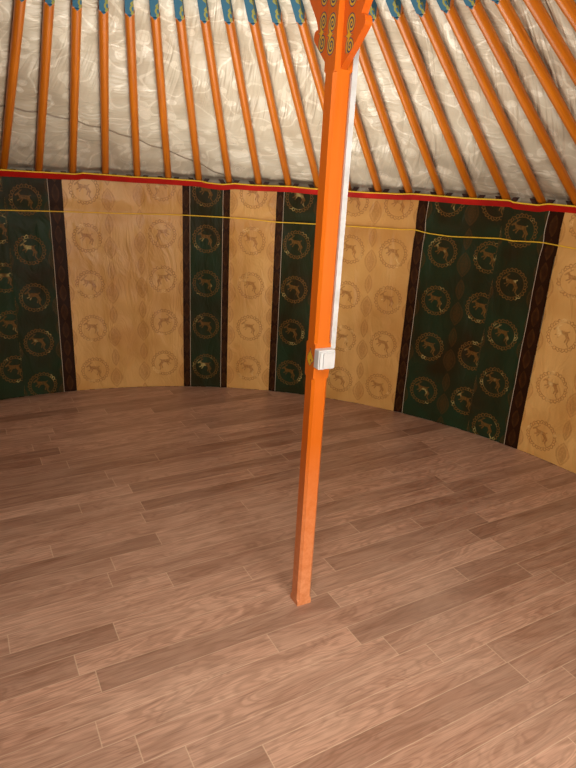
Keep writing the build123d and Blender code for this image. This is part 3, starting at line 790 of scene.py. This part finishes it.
cord_dips = (
    (-8, -2), (10, -7), (19.4, -1), (29.2, -4), (33.9, -15), (39.5, -10), (46, -6), (52.7, 0), (54.8, 8),
    (56.6, -7), (59.9, -14), (67.4, 8), (67.8, -1), (72.1, 12), (74.2, 6), (76.4, 0), (80, -4),
)
cord_radius = 2.6600
cord_half = 0.0034
cord_sides = 8


def cord_level(azimuth):
    """Height of the yellow cord, as seen where it shows and at random elsewhere."""
    if -8 <= azimuth <= 80:
        return cord_height + between(cord_dips, azimuth) / 1000
    return cord_height + 0.016 * noise.noise(Vector((azimuth / 7, 8.1, 0)))


steps = 420
points = []
for step in range(steps + 1):
    azimuth = -door_edge + 2 * door_edge * step / steps
    turned = radians(azimuth)
    for corner in range(cord_sides):
        turn = 2 * pi * corner / cord_sides
        reach = cord_radius + cord_half * cos(turn)
        points.append((
            reach * sin(turned), reach * cos(turned), cord_level(azimuth) + cord_half * sin(turn)))
faces = [
    (here + corner, here + after, here + cord_sides + after, here + cord_sides + corner)
    for here in range(0, steps * cord_sides, cord_sides)
    for corner, after in zip(range(cord_sides), [*range(1, cord_sides), 0])
]
faces += [tuple(reversed(range(cord_sides))), tuple(range(steps * cord_sides, (steps + 1) * cord_sides))]
piece = new_piece("yellow_wall_cord", points, faces)
piece.data.materials.append(yellow_cotton)
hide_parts("inner_cord")


# Roof liner
# Silvery damask laid over the poles in parallel widths sewn edge to edge. It sags a
# little between the poles and is creased all over, most of all just above the wall.
liner_inner = 0.702
liner_outer = 2.6933
liner_hem = 1.470
liner_offset = 0.0235
seam_turn = radians(-10.2)
seam_place = 2.135
seam_pitch = 2.4


def roof_height(radius, offset):
    """Height of a surface that far above the poles' middle lines."""
    return eave_height + (eave_radius - radius) * tan(roof_pitch) + offset / cos(roof_pitch)


def crease(x, y, z):
    """A sharp fold line of noise, from 0 to 1."""
    return 1 - min(1, abs(noise.noise(Vector((x, y, z)))) * 3.2)


columns, rows = pole_count * 10, 96
points = [
    (liner_outer * sin(pole_step * column / 10), liner_outer * cos(pole_step * column / 10), height)
    for height in (liner_hem, 1.50, 1.53, 1.555) for column in range(columns)
]
for row in range(rows + 1):
    radius = liner_outer + (liner_inner - liner_outer) * row / rows
    for column in range(columns):
        azimuth = pole_step * column / 10
        between_poles = sin(pi * column / 10) ** 2
        along = azimuth * radius
        slope = (liner_outer - radius) / cos(roof_pitch)
        low = exp(-slope / 0.35)
        slack = 0.8 + 0.5 * noise.noise(Vector((along * 1.2, slope * 1.5, 4)))
        sag = 0.006 * min(1, radius / 2.4) * between_poles * slack
        level = crease(along * 1.6, slope * (7 + 7 * low), 1.7) * (0.0030 + 0.0060 * low)
        tilted = crease(along * 7.0 + slope * 2.6, slope * 0.9, 9.4) * 0.0070
        patch = min(1, max(0, 0.4 + 2.2 * noise.noise(Vector((along * 0.9, slope * 0.9, 7)))))
        folds = (level * (1 - patch) + tilted * patch) * between_poles
        offset = min(liner_offset - sag - 0.005 * between_poles + folds, liner_offset + 0.0008)
        points.append((radius * sin(azimuth), radius * cos(azimuth), roof_height(radius, offset)))
liner = new_piece("roof_liner_cloth", points, net_faces(rows + 4, columns, closed=True))

damask, tree, shader = new_finish("silver_damask", 0.3)
place, x, y, z = place_of(tree)
over = plus(tree, times(tree, x, sin(seam_turn)), times(tree, y, cos(seam_turn)))
along = minus(tree, times(tree, x, cos(seam_turn)), times(tree, y, sin(seam_turn)))
flat = join_place(tree, along, over, 0.0)
drift = scatter(tree, flat, 3.4, 1.0, 0.5)
stem = math(tree, "MAXIMUM", *[
    stretch(tree, gap(tree, drift, level), 0.0100, 0.0055)
    for level in (0.44, 0.56)])
bend = add_node(tree, "VectorMath", flat, join_place(
    tree, times(tree, drift, 0.16), times(tree, drift, -0.12), 0.0), operation="ADD")


def petals(scale, reach, share):
    """Rounded flowers in the weave, so many to the metre, with some left out."""
    cells = tree.nodes.new("ShaderNodeTexVoronoi")
    cells.voronoi_dimensions = "2D"
    cells.inputs["Scale"].default_value = scale
    tree.links.new(bend, cells.inputs["Vector"])
    cut = gap(tree, cells.outputs["Distance"], reach * 0.55)
    flower = minus(tree, stretch(tree, cells.outputs["Distance"], reach, reach * 0.86),
        stretch(tree, cut, reach * 0.13, reach * 0.07, 0.0, 0.6))
    split = tree.nodes.new("ShaderNodeSeparateColor")
    tree.links.new(cells.outputs["Color"], split.inputs[0])
    kept = math(tree, "GREATER_THAN", split.outputs[0], share)
    return times(tree, flower, kept)


flowers = math(tree, "MAXIMUM", petals(5.0, 0.21, 0.35), petals(11.0, 0.23, 0.5))
weave = math(tree, "MAXIMUM", stem, flowers)
stain = scatter(tree, place, 2.2, 3.0, 0.6)
silver = blend(tree, stretch(tree, stain, 0.4, 0.75), paint(187, 179, 160), paint(169, 155, 133))
silver = blend(tree, times(tree, weave, 0.55), silver, paint(224, 217, 200))
seam = math(tree, "DIVIDE", minus(tree, over, seam_place), seam_pitch)
seam = gap(tree, seam, math(tree, "ROUND", seam))
seam = stretch(tree, seam, 0.0034, 0.0014)
silver = blend(tree, times(tree, seam, 0.7), silver, paint(112, 96, 80))
set_colour(tree, shader, silver)
tree.links.new(stretch(tree, weave, 0.0, 1.0, 0.40, 0.26), shader.inputs["Roughness"])
azimuth = math(tree, "ARCTAN2", x, y)
radius = length(tree, x, y)
around = times(tree, azimuth, 2.4)


def ridges(across, down, bend_by):
    """Sharp folds of noise, drawn out one way."""
    lumps = scatter(tree, join_place(tree, across, down, 3.0), 1.0, 2.0, 0.5, bend_by)
    return gap(tree, lumps, 0.5)


ripples = ridges(times(tree, radius, 26.0), times(tree, around, 4.0), 0.7)
tilted = plus(tree, times(tree, around, 15.0), times(tree, radius, 6.0))
wrinkles = ridges(tilted, times(tree, radius, 1.6), 0.3)
patch = stretch(tree, scatter(tree, place, 1.7, 1.0, 0.5), 0.42, 0.60)
broad = scatter(tree, place, 3.5, 1.0, 0.5)
puckers = plus(tree, times(tree, broad, 5.0),
    plus(tree, times(tree, ripples, minus(tree, 0.7, times(tree, patch, 0.6))),
         times(tree, wrinkles, times(tree, patch, 1.6))))
relief(tree, shader, minus(tree, puckers, times(tree, seam, 0.3)), 0.02)
liner.data.materials.append(damask)
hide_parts("roof_liner")


# Felts
# Thick off-white wool felt laid over the roof and round the wall, in strips that butt
# against each other. They show at the door, under the hem and at the crown.
felt, tree, shader = new_finish("wool_felt", 0.95, Sheen_Weight=0.4)
place, x, y, z = place_of(tree)
matting = scatter(tree, place, 14.0, 3.0, 0.65)
hair = scatter(tree, place, 260.0, 2.0, 0.6)
wool = blend(tree, stretch(tree, matting, 0.35, 0.7), paint(226, 220, 206), paint(196, 186, 168))
set_colour(tree, shader, blend(tree, times(tree, hair, 0.3), wool, paint(168, 156, 138)))
relief(tree, shader, plus(tree, hair, times(tree, matting, 2.0)), 0.002)
dress(felt, *[f"{side}_felt_{number}" for side in ("wall", "roof") for number in range(1, 5)])


# Canvas round the wall
# A white cotton cover drawn round the felt from jamb to jamb, held by three ropes, so
# it puffs out a little between them in upright folds.
canvas_radius = 2.7268
canvas_foot = 0.040
canvas_head = 1.527
jamb_edge = 171.35
tied_heights = (0.330, 0.760, 1.120)
canvas, tree, shader = new_finish("white_canvas", 0.8, Sheen_Weight=0.2)
place, x, y, z = place_of(tree)
weave = scatter(tree, scaled_place(tree, x, y, z, 420.0, 420.0, 420.0), 1.0, 1.0, 0.5)
grime = scatter(tree, place, 2.0, 3.0, 0.6)
splash = stretch(tree, plus(tree, z, times(tree, grime, 0.5)), 0.62, 0.25)
white = blend(tree, stretch(tree, grime, 0.4, 0.75), paint(232, 230, 222), paint(217, 213, 203))
white = blend(tree, times(tree, splash, 0.35), white, paint(176, 164, 142))
set_colour(tree, shader, white)
crumple = scatter(tree, place, 9.0, 3.0, 0.55, 0.5)
relief(tree, shader, plus(tree, times(tree, crumple, 4.0), times(tree, weave, 0.15)), 0.002)


def puff(along, height):
    """How far the wall canvas stands out from the felt."""
    free = 1.0
    for tied in tied_heights:
        free *= 1 - exp(-((height - tied) / 0.055) ** 2)
    free *= min(1, max(0, (canvas_head - 0.04 - height) / 0.1))
    fold = 0.5 + noise.noise(Vector((along * 6.5, height * 0.8, 2.2))) * 0.7
    fine = 0.4 + noise.noise(Vector((along * 19.0, height * 1.4, 5.2))) * 0.6
    return free * max(0, 0.0065 * fold + 0.0025 * fine)


columns, rows = 1200, 62
points = []
for row in range(rows + 1):
    height = canvas_foot + (canvas_head - canvas_foot) * row / rows
    for column in range(columns + 1):
        azimuth = radians(-jamb_edge + 2 * jamb_edge * column / columns)
        radius = canvas_radius + puff(azimuth * canvas_radius, height)
        points.append((radius * sin(azimuth), radius * cos(azimuth), height))
around_wall = [tuple(reversed(face)) for face in net_faces(rows, columns)]
piece = new_piece("wall_canvas_cloth", points, around_wall)
piece.data.materials.append(canvas)
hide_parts("wall_canvas")


# Canvas over the roof
# One white cover of sewn gores with a skirt that hangs over the eave, cut away above
# the door. Eight ropes hold it down, and between them it puffs up slightly.
cover_inner = 0.702
skirt_radius = 2.7634
skirt_foot = 1.2785
skirt_gap = (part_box("door_frame")[1].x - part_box("door_frame")[0].x) / 2 + 0.015
over_felt = 0.0514
rope_turn = 2 * pi / 8


def held_down(azimuth, radius):
    """0 where a rope presses the roof canvas, rising to 1 away from it."""
    off = azimuth / rope_turn - 0.5
    off = abs(off - round(off)) * rope_turn * radius
    return 1 - exp(-((off / 0.10) ** 2))


def swell(azimuth, radius, down):
    """How far the roof canvas stands off the felt."""
    along = azimuth * radius
    ripple = 0.5 + 0.6 * noise.noise(Vector((along * 4.0, down * 1.3, 6.6)))
    fine = 0.4 + 0.6 * noise.noise(Vector((along * 13.0, down * 2.6, 1.9)))
    return held_down(azimuth, radius) * max(0, 0.0055 * ripple + 0.0025 * fine)


columns = 1200
slope_rows, skirt_rows = 52, 12
points, faces = [], []
eave_top = roof_height(skirt_radius, over_felt)
for row in range(slope_rows + skirt_rows + 1):
    for column in range(columns):
        azimuth = 2 * pi * column / columns
        if row <= slope_rows:
            radius = cover_inner + (skirt_radius - cover_inner) * row / slope_rows
            lift = swell(azimuth, radius, radius)
            if row == slope_rows:
                lift *= 0.5
            reach = radius + lift * sin(roof_pitch)
            points.append((
                reach * sin(azimuth), reach * cos(azimuth),
                roof_height(radius, over_felt) + lift * cos(roof_pitch)))
        else:
            share = (row - slope_rows) / skirt_rows
            flare = swell(azimuth, skirt_radius, 5 + share) * (0.5 + 0.5 * share)
            hem = 0.006 * share * noise.noise(Vector((azimuth * 9, 2, 2)))
            points.append((
                (skirt_radius + flare) * sin(azimuth), (skirt_radius + flare) * cos(azimuth),
                eave_top - (eave_top - skirt_foot) * share + hem))
for row in range(slope_rows + skirt_rows):
    for column in range(columns):
        here, after = row * columns, (column + 1) % columns
        face = (here + column, here + after, here + columns + after, here + columns + column)
        middle = points[face[0]]
        if row >= slope_rows and middle[1] < 0 and abs(middle[0]) < skirt_gap and middle[2] < 1.545:
            continue
        faces.append(face)
used = sorted({corner for face in faces for corner in face})
renumbered = {old: new for new, old in enumerate(used)}
piece = new_piece(
    "roof_canvas_cloth", [points[old] for old in used],
    [tuple(renumbered[corner] for corner in face) for face in faces])

gored, tree, shader = new_finish("gored_canvas", 0.8, Sheen_Weight=0.2)
place, x, y, z = place_of(tree)
azimuth = math(tree, "ARCTAN2", x, y)
radius = length(tree, x, y)
gore = math(tree, "DIVIDE", azimuth, 2 * pi / 12)
stitch = times(tree, gap(tree, gore, math(tree, "ROUND", gore)), radius)
seam = stretch(tree, stitch, 0.030, 0.024)
grime = scatter(tree, place, 2.0, 3.0, 0.6)
white = blend(tree, stretch(tree, grime, 0.4, 0.75), paint(234, 232, 225), paint(221, 218, 208))
white = blend(tree, times(tree, seam, 0.25), white, paint(196, 192, 180))
set_colour(tree, shader, white)
crumple = scatter(tree, place, 9.0, 3.0, 0.55, 0.5)
relief(tree, shader, plus(tree, times(tree, crumple, 4.0), times(tree, seam, 0.6)), 0.002)
piece.data.materials.append(gored)
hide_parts("roof_canvas")


# Crown cover
# A thick felt flap bound in canvas, folded back over the rear half of the crown so
# that the front half stays open to the light. It slumps between the rim and the hub.
cover_line = ((0.960, 2.6298), (0.675, 2.8085), (0.385, 2.9905), (0.030, 2.9905))
flap_outer = 0.960
flap_inner = 0.031
flap_thickness = 0.0115


def flap_height(radius):
    """Height of the flap's underside at a radius."""
    for (outer, low), (inner, high) in zip(cover_line, cover_line[1:]):
        if radius >= inner:
            return low + (high - low) * (outer - radius) / (outer - inner)
    return cover_line[-1][1]


columns, rows = 120, 44
top_side, under_side = [], []
for row in range(rows + 1):
    radius = flap_outer + (flap_inner - flap_outer) * row / rows
    for column in range(columns + 1):
        azimuth = -pi / 2 + pi * column / columns
        lump = noise.noise(Vector((radius * 5 * sin(azimuth), radius * 5 * cos(azimuth), 3)))
        lump = max(0, lump * 0.5 + 0.4)
        base = flap_height(radius) + 0.0004
        x, y = radius * sin(azimuth), radius * cos(azimuth)
        under_side.append((x, y, base))
        top_side.append((x, y, base + flap_thickness * (0.8 + 0.5 * lump)))
count = len(top_side)
upper = [tuple(reversed(face)) for face in net_faces(rows, columns)]
lower = [tuple(corner + count for corner in reversed(face)) for face in upper]
rim_loop = (
    list(range(columns + 1))
    + [row * (columns + 1) + columns for row in range(1, rows + 1)]
    + [rows * (columns + 1) + column for column in range(columns - 1, -1, -1)]
    + [row * (columns + 1) for row in range(rows - 1, 0, -1)]
)
sides = [
    (first, first + count, second + count, second)
    for first, second in zip(rim_loop, rim_loop[1:] + rim_loop[:1])
]
piece = new_piece("crown_cover_flap", top_side + under_side, upper + lower + sides)
bpy.context.view_layer.objects.active = piece
piece.select_set(True)
bpy.ops.object.mode_set(mode="EDIT")
bpy.ops.mesh.select_all(action="SELECT")
bpy.ops.mesh.normals_make_consistent(inside=False)
bpy.ops.object.mode_set(mode="OBJECT")
piece.select_set(False)
piece.data.materials.append(canvas)
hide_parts("crown_cover")


# Ropes outside
# Thick hair ropes, twisted from dark and pale strands: three round the wall from jamb
# to jamb, and eight over the roof that are tied to the top one.
hair_rope, tree, shader = new_finish("hair_rope", 0.9)
place, x, y, z = place_of(tree)
strand = math(
    tree, "SINE",
    plus(tree, times(tree, z, 520.0), times(tree, math(tree, "ARCTAN2", x, y), 1400.0)))
fuzz = scatter(tree, place, 300.0, 2.0, 0.6)
rope = blend(tree, stretch(tree, strand, -0.4, 0.6), paint(150, 130, 104), paint(96, 78, 58))
set_colour(tree, shader, blend(tree, times(tree, fuzz, 0.4), rope, paint(70, 56, 42)))
relief(tree, shader, plus(tree, times(tree, strand, 0.6), fuzz), 0.0015)
dress(hair_rope, "wall_ropes", "roof_ropes")


# Light switch and cable trunking
# White plastic: a surface box with its rocker, screwed to the post's front, and a
# snap-on trunking that takes the cable up the post's side to the crown.
plastic, tree, shader = new_finish("white_plastic", 0.36)
place, x, y, z = place_of(tree)
handling = scatter(tree, place, 25.0, 3.0, 0.6)
set_colour(
    tree, shader,
    blend(tree, stretch(tree, handling, 0.4, 0.75), paint(198, 199, 200), paint(180, 179, 177)))
set_roughness(tree, shader, handling, 0.3, 0.46)
relief(tree, shader, handling, 0.0002)
dress(plastic, "light_switch", "cable_trunking")


# Ground and light
# A plain pale floor under the yurt and soft light outside. Inside, one soft lamp stands for
# the daylight at the door, a weaker one for that under the crown, and a low one for what
# the floor throws back.
bpy.ops.mesh.primitive_circle_add(vertices=64, radius=30, fill_type="NGON", location=(0, 0, -0.002))
ground = bpy.context.object
ground.name = "studio_floor"
ground.select_set(False)
pale, tree, shader = new_finish("pale_ground", 0.9)
place, x, y, z = place_of(tree)
set_colour(
    tree, shader, blend(tree, scatter(tree, place, 1.0), (0.78, 0.78, 0.77, 1), (0.82, 0.82, 0.81, 1)))
ground.data.materials.append(pale)

world = bpy.context.scene.world or bpy.data.worlds.new("daylight")
bpy.context.scene.world = world
world.use_nodes = True
world.node_tree.nodes["Background"].inputs["Color"].default_value = (0.95, 0.97, 1, 1)
world.node_tree.nodes["Background"].inputs["Strength"].default_value = 0.7


def soft_lamp(name, place, target, size, power, spread=180):
    """A square soft lamp at a place, turned to a target; its light opens to that many degrees."""
    data = bpy.data.lights.new(name, "AREA")
    data.size = size
    data.energy = power
    data.spread = radians(spread)
    data.color = (1.0, 0.93, 0.82)
    lamp = bpy.data.objects.new(name, data)
    lamp.location = place
    lamp.visible_camera = False
    lamp.rotation_mode = "QUATERNION"
    lamp.rotation_quaternion = (Vector(target) - Vector(place)).to_track_quat("-Z", "Y")
    bpy.context.collection.objects.link(lamp)


soft_lamp("door_daylight", (0.6, -2.1, 1.25), (0.6, 1.3, 0.95), 0.8, 44)
soft_lamp("crown_daylight", (-0.1, -1.1, 2.3), (0.6, -0.3, 0.3), 0.7, 28)
soft_lamp("floor_bounce", (0.9, 1.1, 0.4), (0.9, 1.1, 3.0), 1.7, 24, 100)
soft_lamp("outside_key", (-7, -9, 9), (0, 0, 1), 6, 620)
soft_lamp("outside_fill", (9, -4, 6), (0, 0, 1), 6, 200)

bpy.context.scene.view_settings.view_transform = "Standard"


# View
# From standing height a little west of the middle of the room, looking down and to the
# right at the east post.
eye_turn = radians(27.372)
eye_drop = radians(19.688)
eye_roll = radians(3.129)
eye_place = (-0.3568, -1.6711, 1.645)
forward = Vector((sin(eye_turn) * cos(eye_drop), cos(eye_turn) * cos(eye_drop), -sin(eye_drop)))
level_right = Vector((cos(eye_turn), -sin(eye_turn), 0))
level_up = level_right.cross(forward)
eye_right = level_right * cos(eye_roll) + level_up * sin(eye_roll)
eye_up = level_up * cos(eye_roll) - level_right * sin(eye_roll)
camera_data = bpy.data.cameras.new("eye")
camera_data.lens = 27.73
camera_data.sensor_width = 36
camera_data.clip_start = 0.05
camera = bpy.data.objects.new("eye", camera_data)
turned = Matrix((eye_right, eye_up, -forward)).transposed().to_4x4()
camera.matrix_world = Matrix.Translation(eye_place) @ turned
bpy.context.collection.objects.link(camera)
bpy.context.scene.camera = camera
